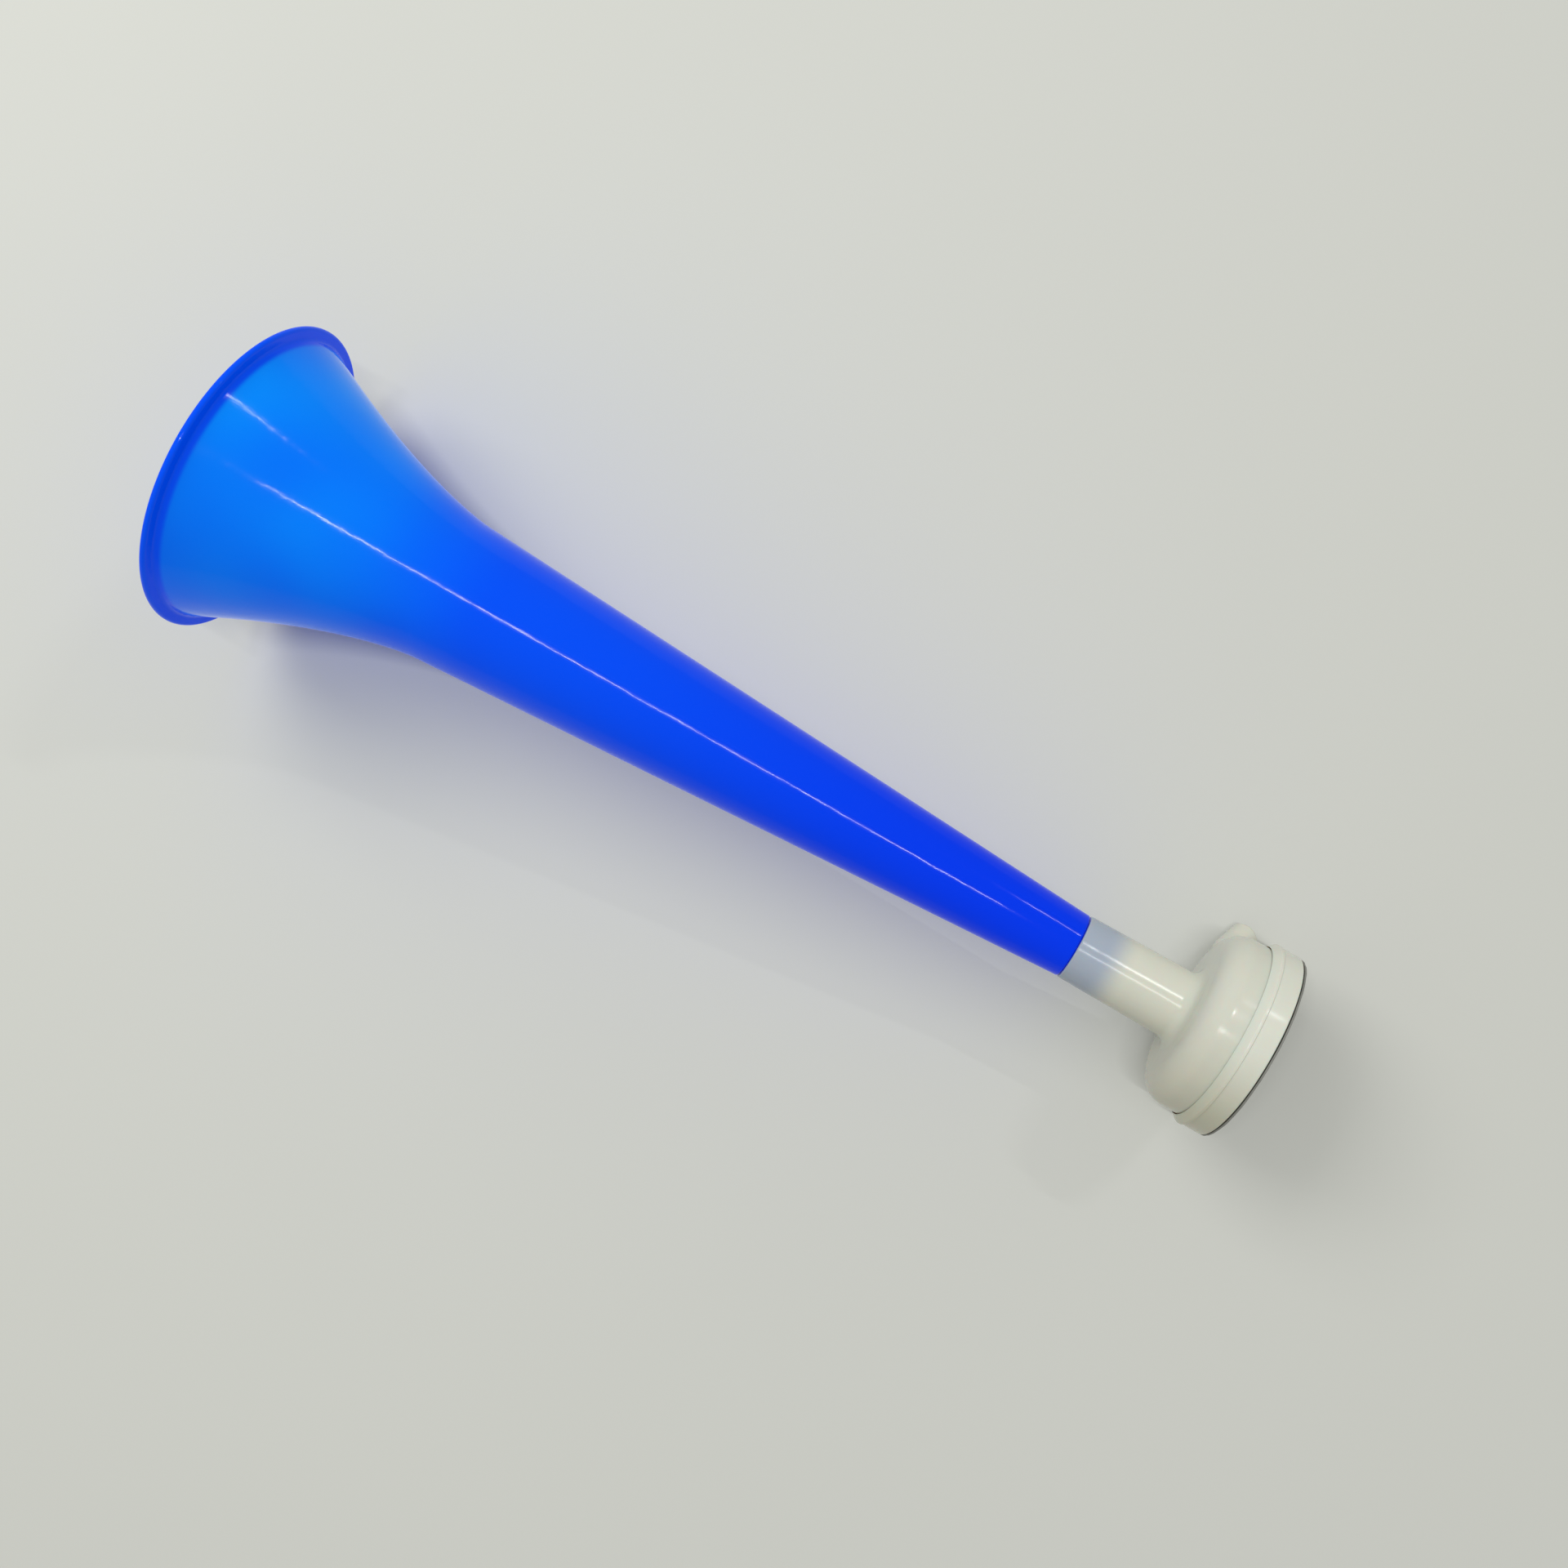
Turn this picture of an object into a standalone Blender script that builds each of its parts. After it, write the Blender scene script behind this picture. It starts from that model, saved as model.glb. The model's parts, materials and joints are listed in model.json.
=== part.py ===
# Stadium horn: a lung-powered membrane horn of moulded plastic, lying on the floor.
# A blue bell plugs into a white sound head. The player blows into the spout on the head's side, the air
# lifts a film off the end of a tube in the head's middle, and the pulses run down that tube to the bell.
#
# Every piece is turned about the horn's own axis, which is each object's local Z: zero in the plane of the
# bell's mouth and rising towards the head. The empty horn_axis lays that axis along +X, so that the bell's
# lip and the film's edge stand on the floor at z = 0, and the head is rolled until its spout touches too.

import math
import bmesh
import bpy
from mathutils import Vector

MM = 0.001

# Overall
horn_length = 320.0 * MM          # mouth plane to the film's outer face
bell_length = 266.0 * MM          # mouth plane to the face that the head butts against
fit_gap = 0.3 * MM                # clearance between pieces that touch
turn_steps = 48                   # flats round every turned piece
spout_steps = 24

# Bell
mouth_radius = 47.1 * MM          # outside of the lip
lip_thickness = 2.0 * MM
lip_edge_round = 0.9 * MM
lip_fillet = 1.3 * MM
throat_radius = 9.2 * MM          # outside of the bell where it meets the head
bell_taper = 0.0605               # radius gained per length, throat to mouth
flare_length = 68.0 * MM
flare_rise = 19.3 * MM            # what the flare adds to the tapered tube's radius at the mouth
flare_power = 1.54
flare_rings = 13
bell_wall = 1.2 * MM
spigot_radius = 7.6 * MM
spigot_length = 13.5 * MM
spigot_wall = 1.1 * MM
small_round = 0.4 * MM

# Sound head
stem_radius = 9.35 * MM
stem_root_radius = 9.7 * MM
stem_length = 33.4 * MM           # joint face to the chamber's front wall
stem_fillet = 3.5 * MM
chamber_radius = 25.4 * MM
shoulder_round = 7.0 * MM
head_wall = 1.8 * MM
air_bore_radius = 6.9 * MM
seat_tube_wall = 1.5 * MM
rim_setback = 1.7 * MM            # how far the chamber's rim ends short of the seat tube

# Spout
spout_radius = 4.2 * MM
spout_bore_radius = 1.9 * MM
spout_reach = 36.5 * MM           # horn axis to the spout's end, along the spout's own radius
spout_lean = math.radians(20.0)   # leans away from the bell
spout_inset = 5.5 * MM            # chamber's front wall to the spout's centre line, at the chamber's side
spout_lip_round = 1.1 * MM
spout_root_radius = 2.9 * MM      # where it starts, buried in the front wall
spout_root_length = 1.6 * MM      # chamber's side to where the spout has its full radius

# Cap ring and film
ring_width = 8.4 * MM
ring_radius = 27.1 * MM
ring_chamfer = 1.9 * MM           # front edge, from the chamber's wall up to the bead
ring_bead_rise = 0.25 * MM
ring_bead_width = 0.7 * MM
ring_end_wall = 1.4 * MM
ring_window_radius = 22.5 * MM
film_radius = 26.9 * MM
film_thickness = 0.5 * MM

# Places along the axis that follow from the sizes above
film_face = horn_length - film_thickness
seat_end = film_face - fit_gap
ring_end = seat_end
ring_start = ring_end - ring_width
head_start = bell_length + fit_gap
front_wall = head_start + stem_length
rim_end = seat_end - rim_setback
socket_radius = spigot_radius + fit_gap
socket_end = bell_length + spigot_length + fit_gap
seat_tube_radius = air_bore_radius + seat_tube_wall
ring_bore_radius = chamber_radius + fit_gap


# Outlines are lists of (radius, height, rounding) corners, outer side first, from the head's end down

def rounded(corners, closed=True, step=math.radians(20.0)):
    """Points of an outline, with an arc tangent to both edges at each corner that has a rounding."""
    points = []
    count = len(corners)
    for index, (radius, height, rounding) in enumerate(corners):
        here = Vector((radius, height))
        ends = not closed and index in (0, count - 1)
        if ends or rounding == 0.0:
            points.append(here)
            continue
        to_last = (Vector(corners[index - 1][:2]) - here).normalized()
        to_next = (Vector(corners[(index + 1) % count][:2]) - here).normalized()
        half = to_last.angle(to_next) / 2.0
        middle = here + (to_last + to_next).normalized() * (rounding / math.sin(half))
        start = here + to_last * (rounding / math.tan(half)) - middle
        end = here + to_next * (rounding / math.tan(half)) - middle
        sweep = start.angle_signed(end)
        steps = max(2, math.ceil(abs(sweep) / step))
        for k in range(steps + 1):
            angle = -sweep * k / steps
            turned = Vector((start.x * math.cos(angle) - start.y * math.sin(angle),
                             start.x * math.sin(angle) + start.y * math.cos(angle)))
            points.append(middle + turned)
    return points


def turned_solid(name, points, collection, steps=turn_steps, closed=True):
    """An object turned from an outline by a Screw about its local Z."""
    mesh = bpy.data.meshes.new(name)
    outline = bmesh.new()
    verts = [outline.verts.new((point[0], 0.0, point[1])) for point in points]
    for a, b in zip(verts, verts[1:]):
        outline.edges.new((a, b))
    if closed:
        outline.edges.new((verts[-1], verts[0]))
    outline.to_mesh(mesh)
    outline.free()
    obj = bpy.data.objects.new(name, mesh)
    collection.objects.link(obj)
    screw = obj.modifiers.new("turn", "SCREW")
    screw.axis = "Z"
    screw.steps = steps
    screw.render_steps = steps
    screw.use_merge_vertices = True
    screw.merge_threshold = 0.00001
    screw.use_smooth_shade = True
    return obj


def boolean(obj, operation, other):
    modifier = obj.modifiers.new(other.name, "BOOLEAN")
    modifier.operation = operation
    modifier.object = other
    modifier.solver = "EXACT"


def freeze(obj):
    """Keep the shape that the modifiers make, shaded smooth with its hard edges sharp."""
    bpy.context.view_layer.update()
    evaluated = obj.evaluated_get(bpy.context.evaluated_depsgraph_get())
    mesh = bpy.data.meshes.new_from_object(evaluated)
    obj.modifiers.clear()
    obj.data = mesh
    mesh.name = obj.name
    mesh.shade_smooth()
    mesh.set_sharp_from_angle(angle=math.radians(40.0))


def plastic(name, colour, roughness):
    material = bpy.data.materials.new(name)
    material.use_nodes = True
    shader = material.node_tree.nodes["Principled BSDF"]
    shader.inputs["Base Color"].default_value = (*colour, 1.0)
    shader.inputs["Roughness"].default_value = roughness
    shader.inputs["Metallic"].default_value = 0.0
    material.diffuse_color = (*colour, 1.0)
    return material


# Bell: one thin blue moulding, a tapered tube that flares to a flat lip, with a spigot at its small end

def bell_wall_radius(height):
    """Outer radius of the bell's wall at a height, and its slope."""
    from_throat = bell_length - height
    into_flare = max(0.0, from_throat - (bell_length - flare_length)) / flare_length
    radius = throat_radius + bell_taper * from_throat + flare_rise * into_flare ** flare_power
    slope = -bell_taper
    if into_flare > 0.0:
        slope -= flare_rise * flare_power * into_flare ** (flare_power - 1.0) / flare_length
    return radius, slope


def bell_bore_radius(height):
    radius, slope = bell_wall_radius(height)
    return radius - bell_wall * math.hypot(1.0, slope)


def make_bell(collection):
    tip = bell_length + spigot_length
    tube_heights = [bell_length - (bell_length - flare_length) * k / 4 for k in range(1, 5)]
    flare_heights = [flare_length * (1.0 - (k + 1) / flare_rings) for k in range(flare_rings - 1)]
    outer_heights = tube_heights + [h for h in flare_heights if h > lip_thickness + lip_fillet]
    corners = [(spigot_radius - spigot_wall, tip, 0.0),
               (spigot_radius, tip, small_round),
               (spigot_radius, bell_length, 0.0),
               (throat_radius, bell_length, small_round)]
    corners += [(bell_wall_radius(h)[0], h, 0.0) for h in outer_heights]
    corners += [(bell_wall_radius(lip_thickness)[0], lip_thickness, lip_fillet),
                (mouth_radius, lip_thickness, lip_edge_round),
                (mouth_radius, 0.0, lip_edge_round),
                (bell_bore_radius(0.0), 0.0, small_round)]
    corners += [(bell_bore_radius(h), h, 0.0) for h in reversed(flare_heights)]
    corners += [(bell_bore_radius(flare_length), flare_length, 0.0),
                (bell_bore_radius(bell_length - spigot_length), bell_length - spigot_length, 0.0),
                (spigot_radius - spigot_wall, bell_length, 0.0)]
    return turned_solid("bell", rounded(corners), collection)


# Head body: one white moulding with the stem that takes the bell's spigot, the air chamber, the seat tube
# that the film lies on, and the spout

def make_spout(collection, cutters, axis):
    """The solid spout and the drill for its bore, both turned about the spout's own leaning axis."""
    root = Vector((chamber_radius - shoulder_round, 0.0, front_wall + spout_inset))
    root.z -= shoulder_round * math.tan(spout_lean)
    length = (spout_reach - root.x) / math.cos(spout_lean)
    wall_at = shoulder_round / math.cos(spout_lean)
    corners = [(0.0, length, 0.0),
               (spout_radius, length, spout_lip_round),
               (spout_radius, wall_at + spout_root_length, spout_root_length),
               (spout_root_radius, 0.0, 0.0),
               (0.0, 0.0, 0.0)]
    spout = turned_solid("spout_form", rounded(corners, closed=False), cutters, spout_steps, closed=False)
    drill_end = length + shoulder_round
    drill_start = shoulder_round * 0.25
    drill = turned_solid("spout_drill", [(0.0, drill_end), (spout_bore_radius, drill_end),
                                         (spout_bore_radius, drill_start), (0.0, drill_start)],
                         cutters, spout_steps, closed=False)
    for obj in (spout, drill):
        obj.location = root
        obj.rotation_euler = (0.0, math.pi / 2.0 - spout_lean, 0.0)
        obj.parent = axis
    return spout, drill


def make_head_body(collection, cutters, axis):
    outside = rounded([(0.0, seat_end, 0.0),
                       (chamber_radius, seat_end, 0.0),
                       (chamber_radius, front_wall, shoulder_round),
                       (stem_root_radius, front_wall, stem_fillet),
                       (stem_radius, head_start, small_round),
                       (0.0, head_start, 0.0)], closed=False, step=math.radians(12.0))
    body = turned_solid("head_body", outside, collection, closed=False)
    beyond = 10.0 * MM
    chamber_wall = chamber_radius - head_wall
    chamber = rounded([(chamber_radius + beyond, seat_end + beyond, 0.0),
                       (chamber_radius + beyond, rim_end, 0.0),
                       (chamber_wall, rim_end, 0.0),
                       (chamber_wall, front_wall + head_wall, shoulder_round - head_wall),
                       (seat_tube_radius, front_wall + head_wall, small_round),
                       (seat_tube_radius, seat_end + beyond, 0.0)])
    bore = [(0.0, seat_end + beyond), (air_bore_radius, seat_end + beyond), (air_bore_radius, socket_end),
            (socket_radius, socket_end), (socket_radius, head_start - beyond), (0.0, head_start - beyond)]
    chamber_form = turned_solid("chamber_form", chamber, cutters)
    bore_form = turned_solid("bore_form", bore, cutters, closed=False)
    spout_form, spout_drill = make_spout(collection, cutters, body)
    chamber_form.parent = body
    bore_form.parent = body
    boolean(body, "UNION", spout_form)
    boolean(body, "DIFFERENCE", chamber_form)
    boolean(body, "DIFFERENCE", bore_form)
    boolean(body, "DIFFERENCE", spout_drill)
    return body


# Cap ring: a white ring with a beaded edge, pushed over the chamber's rim

def make_cap_ring(collection):
    bead_radius = ring_radius + ring_bead_rise
    bead_start = ring_start + ring_chamfer
    bead_end = bead_start + ring_bead_width
    corners = [(ring_radius, ring_end, small_round),
               (ring_radius, bead_end + ring_bead_rise, 0.0),
               (bead_radius, bead_end, 0.0),
               (bead_radius, bead_start, small_round),
               (bead_radius - ring_chamfer + ring_bead_rise, ring_start, 0.0),
               (ring_bore_radius, ring_start, 0.0),
               (ring_bore_radius, ring_end - ring_end_wall, 0.0),
               (ring_window_radius, ring_end - ring_end_wall, 0.0),
               (ring_window_radius, ring_end, small_round)]
    return turned_solid("cap_ring", rounded(corners), collection)


# Membrane: a dark film bonded to the ring's end and trimmed round it

def make_membrane(collection):
    outline = [(0.0, horn_length), (film_radius, horn_length), (film_radius, film_face), (0.0, film_face)]
    return turned_solid("membrane", outline, collection, closed=False)


# How the horn lies: the lip's back edge and the ring's end edge on the floor, then the spout's tip

def resting_tilt():
    """Slope of the axis, and its height at the mouth plane."""
    flat = math.cos(math.pi / turn_steps)
    lip_place = lip_thickness - lip_edge_round
    lip_centre = mouth_radius * flat - lip_edge_round
    ring_place = ring_end - small_round
    ring_centre = ring_radius * flat - small_round
    run = ring_place - lip_place
    drop = lip_centre - ring_centre
    tilt = math.atan2(drop, run) + math.asin((lip_edge_round - small_round) / math.hypot(run, drop))
    return tilt, small_round + ring_place * math.sin(tilt) + ring_centre * math.cos(tilt)


def spout_tip_height(roll, tilt, axis_height):
    """Height over the floor of the spout's lowest point, with the spout rolled up from straight down."""
    ring_back = spout_lip_round * math.cos(spout_lean)
    along = (front_wall + spout_inset + (spout_reach - chamber_radius) * math.tan(spout_lean)
             - spout_lip_round * math.sin(spout_lean))
    middle = axis_height - along * math.sin(tilt) - (spout_reach - ring_back) * math.cos(roll) * math.cos(tilt)
    sink = math.cos(spout_lean) * math.cos(roll) * math.cos(tilt) + math.sin(spout_lean) * math.sin(tilt)
    return middle - (spout_radius - spout_lip_round) * math.sqrt(1.0 - sink * sink) - spout_lip_round


def resting_roll(tilt, axis_height):
    low, high = 0.0, math.pi / 2.0
    for _ in range(60):
        roll = (low + high) / 2.0
        if spout_tip_height(roll, tilt, axis_height) < 0.0:
            low = roll
        else:
            high = roll
    return high


def lay_down(axis, tilt, axis_height):
    """Turn the axis to +X, with the middle of the horn's footprint over the origin."""
    flat = math.cos(math.pi / turn_steps)
    low_end = -mouth_radius * flat * math.sin(tilt)
    high_end = horn_length * math.cos(tilt) + film_radius * flat * math.sin(tilt)
    axis.location = (-(low_end + high_end) / 2.0, 0.0, axis_height)
    axis.rotation_euler = (0.0, math.pi / 2.0 + tilt, 0.0)


for obj in list(bpy.data.objects):
    bpy.data.objects.remove(obj, do_unlink=True)

horn = bpy.data.collections.new("stadium_horn")
cutters = bpy.data.collections.new("cutters")
bpy.context.scene.collection.children.link(horn)
bpy.context.scene.collection.children.link(cutters)

horn_axis = bpy.data.objects.new("horn_axis", None)
horn.objects.link(horn_axis)

blue = plastic("blue_bell_plastic", (0.0, 0.06, 0.83), 0.2)
white = plastic("milky_head_plastic", (0.70, 0.71, 0.66), 0.3)
ring_white = plastic("milky_ring_plastic", (0.71, 0.72, 0.67), 0.3)
film_grey = plastic("dark_film", (0.13, 0.13, 0.12), 0.4)

pieces = [(make_bell(horn), blue),
          (make_head_body(horn, cutters, horn_axis), white),
          (make_cap_ring(horn), ring_white),
          (make_membrane(horn), film_grey)]

tilt, axis_height = resting_tilt()
lay_down(horn_axis, tilt, axis_height)
flat_down = math.pi / turn_steps
spout_roll = resting_roll(tilt, axis_height)

for piece, material in pieces:
    freeze(piece)
    piece.data.materials.clear()
    piece.data.materials.append(material)
    piece.parent = horn_axis
    piece.rotation_euler = (0.0, 0.0, spout_roll if piece.name == "head_body" else flat_down)

for form in cutters.objects:
    form.hide_render = True
    form.display_type = "WIRE"

print("tilt", math.degrees(tilt), "roll", math.degrees(spout_roll), "axis height", axis_height * 1000.0,
      "axis start", horn_axis.location.x * 1000.0)
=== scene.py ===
import json
import math

import bmesh
import bpy
from mathutils import Matrix, Vector


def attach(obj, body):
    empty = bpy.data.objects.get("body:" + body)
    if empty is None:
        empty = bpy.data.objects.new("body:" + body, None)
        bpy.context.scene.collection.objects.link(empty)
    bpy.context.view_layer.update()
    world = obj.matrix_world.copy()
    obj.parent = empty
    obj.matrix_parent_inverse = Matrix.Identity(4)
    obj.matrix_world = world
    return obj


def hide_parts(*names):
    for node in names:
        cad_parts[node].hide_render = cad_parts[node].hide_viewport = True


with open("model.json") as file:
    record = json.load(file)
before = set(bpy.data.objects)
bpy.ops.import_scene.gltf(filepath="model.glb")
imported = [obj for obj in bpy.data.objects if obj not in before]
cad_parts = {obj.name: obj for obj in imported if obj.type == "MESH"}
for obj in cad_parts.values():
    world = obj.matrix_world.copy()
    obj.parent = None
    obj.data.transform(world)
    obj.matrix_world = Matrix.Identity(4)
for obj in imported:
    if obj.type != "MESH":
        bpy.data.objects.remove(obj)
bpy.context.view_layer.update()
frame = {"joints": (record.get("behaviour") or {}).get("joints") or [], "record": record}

MM = 0.001


# Bell: one thin blown moulding in glossy cobalt plastic. The light that comes in at its mouth and shows
# through the flare is painted into its colour as an azure glow, and the whole bell gives off a faint painted
# glow as well.
# The lip is solid, so it gets no painted glow and is darker, and the small end plugs into the head.

horn_length = 320.0 * MM
bell_length = 266.0 * MM
mouth_radius = 47.0 * MM
lip_thickness = 2.0 * MM
lip_edge_round = 0.9 * MM
lip_fillet = 1.3 * MM
throat_radius = 9.2 * MM
bell_taper = 0.0605
flare_length = 68.0 * MM
flare_rise = 19.3 * MM
flare_power = 1.54
bell_wall = 1.2 * MM
spigot_radius = 7.6 * MM
spigot_wall = 1.1 * MM
spigot_length = 13.5 * MM
small_round = 0.4 * MM

# The horn's axis passes the middle of the film's face and runs the way the head pulls off
axis_direction = Vector(frame["joints"][0]["axis"])
sideways_direction = Vector((0.0, 1.0, 0.0))
down_direction = sideways_direction.cross(axis_direction)
film_middle = Vector(next(m["pos_m"] for m in frame["record"]["mounts"] if m["name"] == "film_face"))
mouth_middle = film_middle - axis_direction * horn_length


def seat(piece, roll=0.0):
    """Lay a piece that was turned about Z on the horn's axis, from the mouth plane on."""
    lay_down = Matrix((down_direction, sideways_direction, axis_direction)).transposed().to_4x4()
    piece.data.transform(Matrix.Translation(mouth_middle) @ lay_down @ Matrix.Rotation(roll, 4, "Z"))


coarse_arc = math.radians(12.0)


def rounded(corners, closed=True, arc_step=coarse_arc):
    """Points of an outline of (radius, height, rounding) corners, with tangent arcs at the rounded ones."""
    points = []
    count = len(corners)
    for index, (radius, height, rounding) in enumerate(corners):
        here = Vector((radius, height))
        if rounding == 0.0 or (not closed and index in (0, count - 1)):
            points.append(here)
            continue
        to_last = (Vector(corners[index - 1][:2]) - here).normalized()
        to_next = (Vector(corners[(index + 1) % count][:2]) - here).normalized()
        half = to_last.angle(to_next) / 2.0
        middle = here + (to_last + to_next).normalized() * (rounding / math.sin(half))
        start = here + to_last * (rounding / math.tan(half)) - middle
        end = here + to_next * (rounding / math.tan(half)) - middle
        sweep = start.angle_signed(end)
        steps = max(2, math.ceil(abs(sweep) / arc_step))
        for k in range(steps + 1):
            angle = -sweep * k / steps
            points.append(middle + Vector((start.x * math.cos(angle) - start.y * math.sin(angle),
                                           start.x * math.sin(angle) + start.y * math.cos(angle))))
    return points


round_steps = 192
on_the_axis = 1e-7


def turned(name, points, steps=round_steps, wobble=None):
    """A smooth solid turned from an outline about Z. wobble(angle) adds to the radius of every ring."""
    form = bmesh.new()
    rings = []
    for radius, height in points:
        if radius < on_the_axis:
            rings.append([form.verts.new((0.0, 0.0, height))] * steps)
            continue
        ring = []
        for k in range(steps):
            angle = math.tau * k / steps
            reach = radius + (wobble(angle) if wobble else 0.0)
            ring.append(form.verts.new((reach * math.cos(angle), reach * math.sin(angle), height)))
        rings.append(ring)
    pairs = list(zip(rings, rings[1:]))
    if points[0][0] > on_the_axis:
        pairs.append((rings[-1], rings[0]))
    for upper, lower in pairs:
        for k in range(steps):
            n = (k + 1) % steps
            corners = [upper[k], lower[k], lower[n], upper[n]]
            corners = [v for i, v in enumerate(corners) if v not in corners[:i]]
            if len(corners) > 2:
                form.faces.new(corners)
    bmesh.ops.recalc_face_normals(form, faces=form.faces)
    if form.calc_volume(signed=True) < 0.0:
        bmesh.ops.reverse_faces(form, faces=form.faces)
    mesh = bpy.data.meshes.new(name)
    form.to_mesh(mesh)
    form.free()
    solid = bpy.data.objects.new(name, mesh)
    bpy.context.scene.collection.objects.link(solid)
    smooth(mesh)
    return solid


sharp_edge = math.radians(38.0)


def smooth(mesh):
    """Shade a mesh smooth, apart from its sharp edges."""
    mesh.shade_smooth()
    mesh.set_sharp_from_angle(angle=sharp_edge)


class Value:
    """A socket in a material, so that Python expressions on it add Math nodes."""

    def __init__(self, finish, socket):
        self.finish = finish
        self.socket = socket

    def _math(self, operation, first, second):
        return self.finish.node("ShaderNodeMath", {"operation": operation}, {0: first, 1: second})

    def __add__(self, other):
        return self._math("ADD", self, other)

    def __sub__(self, other):
        return self._math("SUBTRACT", self, other)

    def __rsub__(self, other):
        return self._math("SUBTRACT", other, self)

    def __mul__(self, other):
        return self._math("MULTIPLY", self, other)

    __radd__ = __add__
    __rmul__ = __mul__


class Finish:
    """A material under construction, with its Principled shader."""

    def __init__(self, name, **constants):
        self.material = bpy.data.materials.new(name)
        self.material.use_nodes = True
        self.tree = self.material.node_tree
        self.shader = self.tree.nodes["Principled BSDF"]
        for socket, value in constants.items():
            self.shader.inputs[socket.replace("_", " ")].default_value = value

    def node(self, kind, settings, sockets, output=0):
        """Any node, by its type, its settings and the values or links of its sockets."""
        made = self.tree.nodes.new(kind)
        for key, value in settings.items():
            setattr(made, key, value)
        for key, value in sockets.items():
            if isinstance(value, Value):
                self.tree.links.new(value.socket, made.inputs[key])
            else:
                made.inputs[key].default_value = value
        return Value(self, made.outputs[output])

    def vector(self, operation, first, second, output="Vector"):
        return self.node("ShaderNodeVectorMath", {"operation": operation}, {0: first, 1: second}, output)

    def place(self):
        """Where a point is on the resting horn: down from its axis, sideways, and along it from the mouth."""
        from_mouth = self.vector("SUBTRACT", self.node("ShaderNodeTexCoord", {}, {}, "Object"), mouth_middle)
        ways = [self.vector("DOT_PRODUCT", from_mouth, way, "Value")
                for way in (down_direction, sideways_direction, axis_direction)]
        return self.node("ShaderNodeCombineXYZ", {}, dict(enumerate(ways))), ways

    def rise(self, value, low, high):
        """0 at low, 1 at high and smooth between; low may be the higher number."""
        return self.node("ShaderNodeMapRange", {"interpolation_type": "SMOOTHSTEP"},
                         {"Value": value, "From Min": low, "From Max": high})

    def noise(self, place, scale, detail=2.0):
        return self.node("ShaderNodeTexNoise", {}, {"Vector": place, "Scale": scale, "Detail": detail})

    def mix(self, factor, first, second):
        return self.node("ShaderNodeMix", {"data_type": "RGBA"}, {0: factor, 6: first, 7: second}, 2)

    def bump(self, height, distance):
        return self.node("ShaderNodeBump", {}, {"Height": height, "Distance": distance})

    def feed(self, **values):
        """Link what changes over the surface to the shader."""
        for socket, value in values.items():
            self.tree.links.new(value.socket, self.shader.inputs[socket.replace("_", " ")])


def srgb(red, green, blue):
    """A display colour of 0 to 255 values, as the linear colour that shaders take."""
    linear = []
    for level in (red, green, blue):
        if level < 10.3:
            linear.append(level / 255.0 / 12.92)
        else:
            linear.append(((level / 255.0 + 0.055) / 1.055) ** 2.4)
    return (*linear, 1.0)


def bell_wall_radius(height):
    """The bell's outer radius at a height over the mouth plane, and how steeply it changes there."""
    into_flare = max(0.0, flare_length - height) / flare_length
    radius = throat_radius + bell_taper * (bell_length - height) + flare_rise * into_flare ** flare_power
    slope = bell_taper + flare_rise * flare_power * into_flare ** (flare_power - 1.0) / flare_length
    return radius, slope


def bell_bore_radius(height):
    radius, slope = bell_wall_radius(height)
    return radius - bell_wall * math.hypot(1.0, slope)


flare_rings = 40
tube_rings = 8
tube_heights = [bell_length + (flare_length - bell_length) * k / tube_rings for k in range(1, tube_rings + 1)]
flare_heights = [flare_length * (1.0 - (k + 1) / flare_rings) for k in range(flare_rings - 1)]
outer_heights = tube_heights + [h for h in flare_heights if h > lip_thickness + lip_fillet]
bell_corners = [(spigot_radius - spigot_wall, bell_length + spigot_length, 0.0),
                (spigot_radius, bell_length + spigot_length, small_round),
                (spigot_radius, bell_length, 0.0),
                (throat_radius, bell_length, small_round)]
bell_corners += [(bell_wall_radius(h)[0], h, 0.0) for h in outer_heights]
bell_corners += [(bell_wall_radius(lip_thickness)[0], lip_thickness, lip_fillet),
                 (mouth_radius, lip_thickness, lip_edge_round),
                 (mouth_radius, 0.0, lip_edge_round),
                 (bell_bore_radius(0.0), 0.0, small_round)]
bell_corners += [(bell_bore_radius(h), h, 0.0) for h in reversed(flare_heights)]
bell_corners += [(bell_bore_radius(flare_length), flare_length, 0.0),
                 (bell_bore_radius(bell_length - spigot_length), bell_length - spigot_length, 0.0),
                 (spigot_radius - spigot_wall, bell_length, 0.0)]
bell = turned("bell_shell", rounded(bell_corners))
seat(bell)

cobalt = srgb(0, 54, 234)
tube_blue = srgb(0, 78, 242)
painted_glow_azure = srgb(0, 136, 254)
lip_blue = srgb(0, 78, 242)

# Where the painted glow starts and is full: along the horn from its mouth, down from its axis, where its
# fading towards the table is painted shade, and sideways from it, where it is dimmed on the near side as
# painted shade.
# Noise scales are in waves a metre.
painted_glow_start = 88.0 * MM
painted_glow_full = 26.0 * MM
painted_glow_low = 34.0 * MM
painted_glow_high = -6.0 * MM
# Painted shade on the near side, which dims the painted glow there
painted_side_shade_start = -4.0 * MM
painted_side_shade_full = -42.0 * MM
painted_side_shade = 0.45
cobalt_from = 250.0 * MM
tube_blue_to = 60.0 * MM
lip_from = 4.4 * MM
lip_full = 3.0 * MM
bell_cloud_scale = 22.0
ripple_scale = 90.0
ripple_depth = 0.10 * MM
draw_line_scale = (900.0, 900.0, 12.0)

# Its emission makes the bell glow faintly though it is no lamp: painted light
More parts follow.
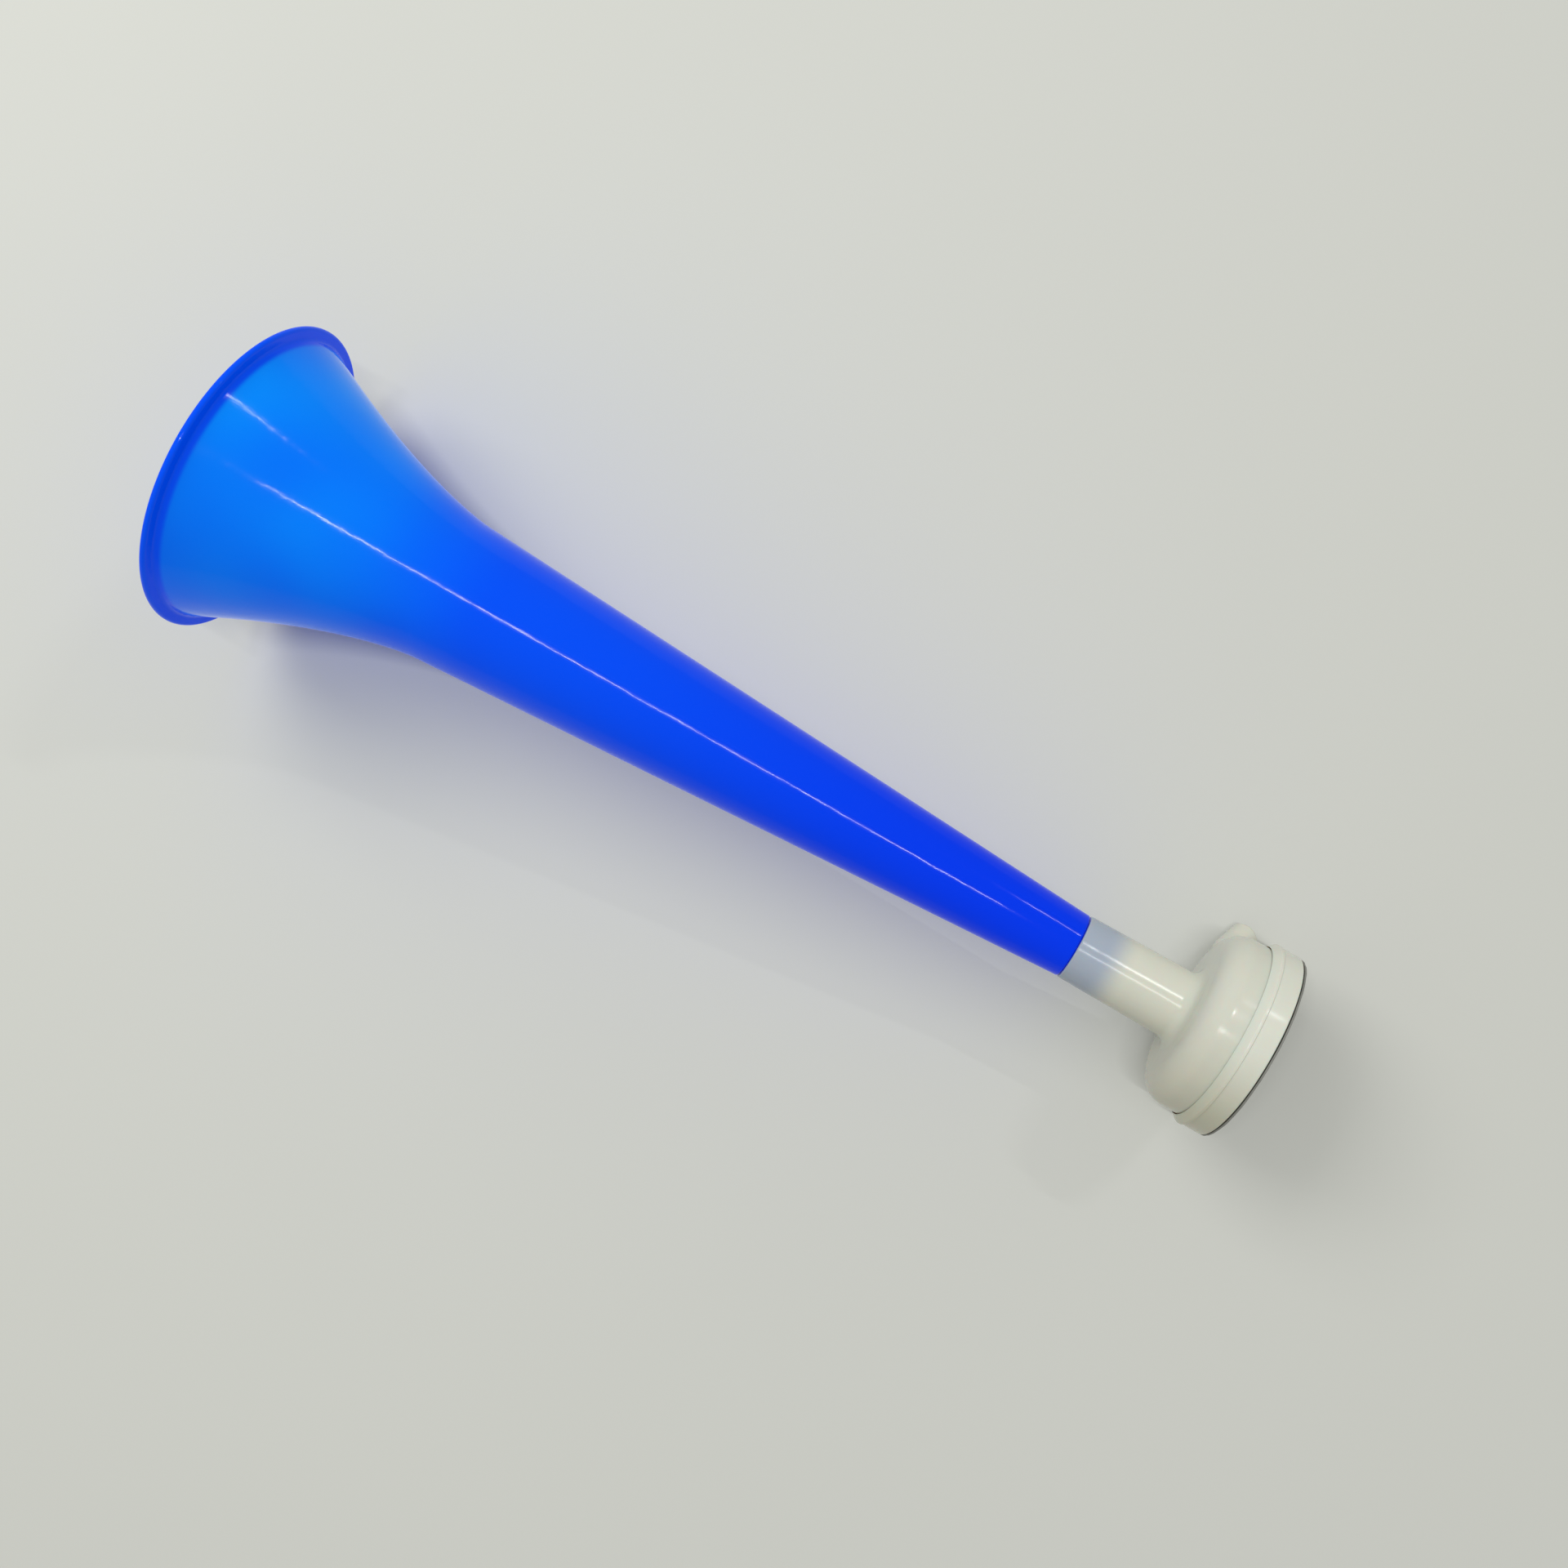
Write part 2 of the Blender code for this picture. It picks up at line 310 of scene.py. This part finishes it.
blue = Finish("cobalt_bell_plastic", IOR=1.28, Specular_IOR_Level=0.3, Emission_Strength=0.2)
place, (down, sideways, along) = blue.place()
cloud = blue.noise(place, bell_cloud_scale, 1.0)
# Painted glow of the light through the flare, in random patches, fading as painted shade towards the table
# and on the near side
in_flare = blue.rise(along, painted_glow_start, painted_glow_full)
off_floor = blue.rise(down, painted_glow_low, painted_glow_high)
# The near side of the bell is dimmed as painted shade
painted_shade_mask = blue.rise(sideways, painted_side_shade_start, painted_side_shade_full)
painted_glow = in_flare * off_floor * (1.0 - painted_side_shade * painted_shade_mask) * (0.1 + 1.4 * cloud)
lip = blue.rise(along, lip_from, lip_full)
tube = blue.mix(blue.rise(along, cobalt_from, tube_blue_to), cobalt, tube_blue)
colour = blue.mix(lip, blue.mix(painted_glow, tube, painted_glow_azure), lip_blue)
ripples = blue.noise(place, ripple_scale, 3.0)
draw_lines = blue.noise(blue.vector("MULTIPLY", place, draw_line_scale), 1.0)
blue.feed(Base_Color=colour, Emission_Color=colour, Roughness=0.05 + 0.09 * ripples,
          Normal=blue.bump(ripples + 0.12 * draw_lines, ripple_depth))
bell.data.materials.append(blue.material)
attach(bell, "bell")
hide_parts("bell")


# Head: a milky white moulding. Its stem takes the bell's spigot, which shows through as a blue tint, and
# its round chamber has a tube in the middle that carries the sound back, and the blow spout on one side.

fit_gap = 0.3 * MM
film_thickness = 0.5 * MM
stem_radius = 9.35 * MM
stem_root_radius = 9.7 * MM
stem_length = 33.4 * MM
stem_fillet = 3.5 * MM
chamber_radius = 25.4 * MM
shoulder_round = 7.0 * MM
head_wall = 1.8 * MM
air_bore_radius = 6.9 * MM
seat_tube_radius = 8.4 * MM
rim_setback = 1.7 * MM
head_start = bell_length + fit_gap
front_wall = head_start + stem_length
chamber_wall = chamber_radius - head_wall
chamber_start = front_wall + head_wall
seat_end = horn_length - film_thickness - fit_gap
rim_end = seat_end - rim_setback
socket_radius = spigot_radius + fit_gap
socket_end = bell_length + spigot_length + fit_gap
head_arc = math.radians(7.0)
chamber_steps = 96
beyond = 10.0 * MM

head = turned("sound_head", rounded([(air_bore_radius, seat_end, 0.0),
                                     (chamber_radius, seat_end, 0.0),
                                     (chamber_radius, front_wall, shoulder_round),
                                     (stem_root_radius, front_wall, stem_fillet),
                                     (stem_radius, head_start, small_round),
                                     (socket_radius, head_start, 0.0),
                                     (socket_radius, socket_end, 0.0),
                                     (air_bore_radius, socket_end, 0.0)], arc_step=head_arc))
chamber_form = turned("chamber_form", rounded([(chamber_radius + beyond, seat_end + beyond, 0.0),
                                               (chamber_radius + beyond, rim_end, 0.0),
                                               (chamber_wall, rim_end, 0.0),
                                               (chamber_wall, chamber_start, shoulder_round - head_wall),
                                               (seat_tube_radius, chamber_start, small_round),
                                               (seat_tube_radius, seat_end + beyond, 0.0)]),
                      chamber_steps)

# The spout starts in the shoulder and leans back, and its drill stops where it breaks into the chamber
spout_radius = 4.2 * MM
spout_bore_radius = 1.9 * MM
spout_reach = 36.5 * MM
spout_lean = math.radians(20.0)
spout_inset = 5.5 * MM
spout_lip_round = 1.1 * MM
spout_root_radius = 2.9 * MM
spout_root_length = 1.6 * MM
spout_roll = math.radians(46.89)
spout_root = Vector((chamber_radius - shoulder_round, 0.0,
                     front_wall + spout_inset - shoulder_round * math.tan(spout_lean)))
spout_length = (spout_reach - spout_root.x) / math.cos(spout_lean)
spout_full = shoulder_round / math.cos(spout_lean) + spout_root_length
drill_end = shoulder_round * 0.25
spout_steps = 64
drill_steps = 48
spout_form = turned("spout_form", rounded([(0.0, spout_length, 0.0),
                                           (spout_radius, spout_length, spout_lip_round),
                                           (spout_radius, spout_full, spout_root_length),
                                           (spout_root_radius, 0.0, 0.0),
                                           (0.0, 0.0, 0.0)], closed=False), spout_steps)
spout_drill = turned("spout_drill", [(0.0, spout_length + beyond),
                                     (spout_bore_radius, spout_length + beyond),
                                     (spout_bore_radius, drill_end),
                                     (0.0, drill_end)], drill_steps)
for form in (spout_form, spout_drill):
    form.matrix_world = Matrix.Translation(spout_root) @ Matrix.Rotation(math.pi / 2.0 - spout_lean, 4, "Y")

for operation, form in (("UNION", spout_form), ("DIFFERENCE", chamber_form), ("DIFFERENCE", spout_drill)):
    cut = head.modifiers.new(form.name, "BOOLEAN")
    cut.operation = operation
    cut.object = form
    cut.solver = "EXACT"
bpy.context.view_layer.update()
head.data = bpy.data.meshes.new_from_object(head.evaluated_get(bpy.context.evaluated_depsgraph_get()))
head.modifiers.clear()
for form in (spout_form, chamber_form, spout_drill):
    bpy.data.objects.remove(form)
smooth(head.data)
seat(head, spout_roll)

milk = srgb(213, 215, 203)
# Painted shade: the near side of the head is darker
milk_painted_shade = srgb(200, 199, 182)
blue_tint = srgb(155, 168, 190)
tint_start = socket_end + 2.0 * MM
tint_full = socket_end - 7.0 * MM
head_painted_shade_start = 4.0 * MM
head_painted_shade_full = -24.0 * MM
head_cloud_scale = 60.0
head_grain_scale = 420.0
head_bump_depth = 0.16 * MM

milky = Finish("milky_head_plastic", IOR=1.32, Specular_IOR_Level=0.4,
               Subsurface_Weight=0.25, Subsurface_Scale=0.004)
place, (_, sideways, along) = milky.place()
spigot_inside = milky.rise(along, tint_start, tint_full)
cloud = milky.noise(place, head_cloud_scale, 3.0)
# Painted shade on the near side, with a little random cloudiness mixed in
painted_shade_mask = milky.rise(sideways, head_painted_shade_start, head_painted_shade_full)
milk_with_painted_shade = milky.mix(painted_shade_mask * 0.8 + 0.2 * cloud, milk, milk_painted_shade)
grain = milky.noise(place, head_grain_scale, 3.0)
milky.feed(Base_Color=milky.mix(spigot_inside * 0.85, milk_with_painted_shade, blue_tint), Roughness=0.11 + 0.12 * cloud,
           Normal=milky.bump(cloud + 0.15 * grain, head_bump_depth))
head.data.materials.clear()
head.data.materials.append(milky.material)
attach(head, "head")
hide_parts("head_body")


# Cap ring: a separate milky ring pushed over the chamber. Its front edge is chamfered up to a fine bead,
# and its end face carries the film.

ring_width = 8.4 * MM
ring_radius = 27.1 * MM
ring_chamfer = 1.9 * MM
ring_bead_rise = 0.25 * MM
ring_bead_width = 0.7 * MM
ring_bead_round = 0.15 * MM
ring_end_wall = 1.4 * MM
ring_window_radius = 22.5 * MM
ring_bore_radius = chamber_radius + fit_gap
ring_start = seat_end - ring_width
bead_start = ring_start + ring_chamfer
bead_end = bead_start + ring_bead_width
bead_radius = ring_radius + ring_bead_rise
ring = turned("cap_ring_shell", rounded([(ring_radius, seat_end, small_round),
                                         (ring_radius, bead_end + ring_bead_rise, 0.0),
                                         (bead_radius, bead_end, ring_bead_round),
                                         (bead_radius, bead_start, small_round),
                                         (bead_radius + ring_bead_rise - ring_chamfer, ring_start, 0.0),
                                         (ring_bore_radius, ring_start, 0.0),
                                         (ring_bore_radius, seat_end - ring_end_wall, 0.0),
                                         (ring_window_radius, seat_end - ring_end_wall, 0.0),
                                         (ring_window_radius, seat_end, small_round)]))
seat(ring)

ring_milk = srgb(221, 223, 212)
# Painted shade: the near side of the ring is darker
ring_painted_shade = srgb(194, 193, 173)
ring_painted_shade_start = 2.0 * MM
ring_painted_shade_full = -25.0 * MM
ring_cloud_scale = 75.0
ring_grain_scale = 500.0
ring_bump_depth = 0.12 * MM

capped = Finish("milky_ring_plastic", IOR=1.32, Specular_IOR_Level=0.4,
                Subsurface_Weight=0.2, Subsurface_Scale=0.003)
place, (_, sideways, _) = capped.place()
cloud = capped.noise(place, ring_cloud_scale, 3.0)
# Painted shade on the near side, with a little random cloudiness mixed in
painted_shade_mask = capped.rise(sideways, ring_painted_shade_start, ring_painted_shade_full)
grain = capped.noise(place, ring_grain_scale, 3.0)
capped.feed(Base_Color=capped.mix(painted_shade_mask * 0.85 + 0.15 * cloud, ring_milk, ring_painted_shade),
            Roughness=0.12 + 0.12 * cloud, Normal=capped.bump(cloud + 0.12 * grain, ring_bump_depth))
ring.data.materials.append(capped.material)
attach(ring, "cap")
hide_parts("cap_ring")


# Film: the horn's reed, a thin dark plastic sheet stretched over the head's end, bonded to the ring and
# trimmed by hand round it, so its edge wanders a little.

film_radius = 26.9 * MM
film_edge_round = 0.1 * MM
film_steps = 288
trim_wander = 0.09 * MM
trim_waves = ((1.0, 7.0, 0.0), (0.6, 19.0, 1.0), (0.4, 43.0, 0.0))   # share, waves a turn, start


def hand_trim(angle):
    return trim_wander * sum(share * math.sin(waves * angle + start) for share, waves, start in trim_waves)


film = turned("film_sheet", rounded([(0.0, horn_length, 0.0),
                                     (film_radius, horn_length, film_edge_round),
                                     (film_radius, horn_length - film_thickness, film_edge_round),
                                     (0.0, horn_length - film_thickness, 0.0)], closed=False),
              film_steps, hand_trim)
seat(film)

film_grey = srgb(112, 113, 109)
film_light = srgb(140, 141, 135)
scuff_scale = 140.0
scuff_depth = 0.05 * MM
dark = Finish("dark_film", IOR=1.4)
place, _ = dark.place()
scuffs = dark.noise(place, scuff_scale, 4.0)
dark.feed(Base_Color=dark.mix(scuffs, film_grey, film_light), Roughness=0.35 + 0.2 * scuffs,
          Normal=dark.bump(scuffs, scuff_depth))
film.data.materials.append(dark.material)
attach(film, "cap")
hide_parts("membrane")


# Table: a pale matt top with a faint cloudiness, far larger than the picture so that no edge of it shows.
# It isn't part of the horn, which rests on it at three points.

table_half = 3.0
table_corners = [(x * table_half, y * table_half, 0.0) for x, y in ((-1, -1), (1, -1), (1, 1), (-1, 1))]
table_mesh = bpy.data.meshes.new("table_top")
table_mesh.from_pydata(table_corners, [], [(0, 1, 2, 3)])
table = bpy.data.objects.new("table_top", table_mesh)
bpy.context.scene.collection.objects.link(table)
table_pale = srgb(219, 221, 216)
table_paler = srgb(223, 225, 220)
table_cloud_scale = 5.0
table_grain_scale = 900.0
matt = Finish("pale_table", Specular_IOR_Level=0.1)
place, _ = matt.place()
matt.feed(Base_Color=matt.mix(matt.noise(place, table_cloud_scale), table_pale, table_paler),
          Roughness=0.6 + 0.1 * matt.noise(place, table_grain_scale, 4.0))
table.data.materials.append(matt.material)


# Light: an even white room and a soft panel past the mouth give the level. A narrow ceiling tube draws
# the long streak on the bell, a second one the short streak by the lip.

world = bpy.data.worlds.new("room")
bpy.context.scene.world = world
world.use_nodes = True
room_light = world.node_tree.nodes["Background"]
room_light.inputs["Color"].default_value = srgb(250, 249, 242)
room_light.inputs["Strength"].default_value = 0.38


def area_light(name, place, watts, length, width, colour=(1.0, 1.0, 1.0)):
    """A rectangular lamp that faces straight down, its length along the horn."""
    light = bpy.data.lights.new(name, "AREA")
    light.shape = "RECTANGLE"
    light.size = length
    light.size_y = width
    light.energy = watts
    light.color = colour
    lamp = bpy.data.objects.new(name, light)
    lamp.location = place
    bpy.context.scene.collection.objects.link(lamp)
    return lamp


ceiling = 1.6
panel = area_light("panel", (-1.0, 0.35, 1.1), 9.5, 1.0, 0.8, (1.0, 0.99, 0.955))
panel.visible_glossy = False
area_light("tube_lamp", (0.11, 0.0, ceiling), 6.5, 0.78, 0.014)
area_light("far_tube_lamp", (0.82, 1.54, ceiling), 4.0, 0.3, 0.03)
window = area_light("window", (0.39, 0.75, ceiling), 5.0, 0.14, 0.16)

# The bell doesn't mirror the window, so it lights only the head, its ring and the film
head_pieces = bpy.data.collections.new("head_pieces")
for piece in (head, ring, film):
    head_pieces.objects.link(piece)
window.light_linking.receiver_collection = head_pieces


# Camera: held about half a metre over the table and turned 30 degrees to the horn.
# Its place is given by how it sees the horn: right, down and away from the eye.

focal_share = 1950.0 / 1920.0     # focal length over the picture's width
mouth_seen = Vector((-152.03, -87.29, 454.35)) * MM
axis_seen = Vector((0.8658, 0.4927, -0.0876)).normalized()
side_seen = Vector((axis_seen.y, -axis_seen.x, 0.0)).normalized()
rise_seen = axis_seen.cross(side_seen)
lean = math.atan2(-axis_direction.z, axis_direction.x)
seen = Matrix((axis_seen * math.cos(lean) + rise_seen * math.sin(lean),
               side_seen,
               rise_seen * math.cos(lean) - axis_seen * math.sin(lean)))
eye = mouth_middle - seen @ mouth_seen
camera_axes = seen @ Matrix(((1.0, 0.0, 0.0), (0.0, -1.0, 0.0), (0.0, 0.0, -1.0)))
lens = bpy.data.cameras.new("camera")
lens.sensor_width = 36.0
lens.lens = lens.sensor_width * focal_share
camera = bpy.data.objects.new("camera", lens)
camera.matrix_world = Matrix.Translation(eye) @ camera_axes.to_4x4()
bpy.context.scene.collection.objects.link(camera)
bpy.context.scene.camera = camera
bpy.context.scene.view_settings.view_transform = "Standard"
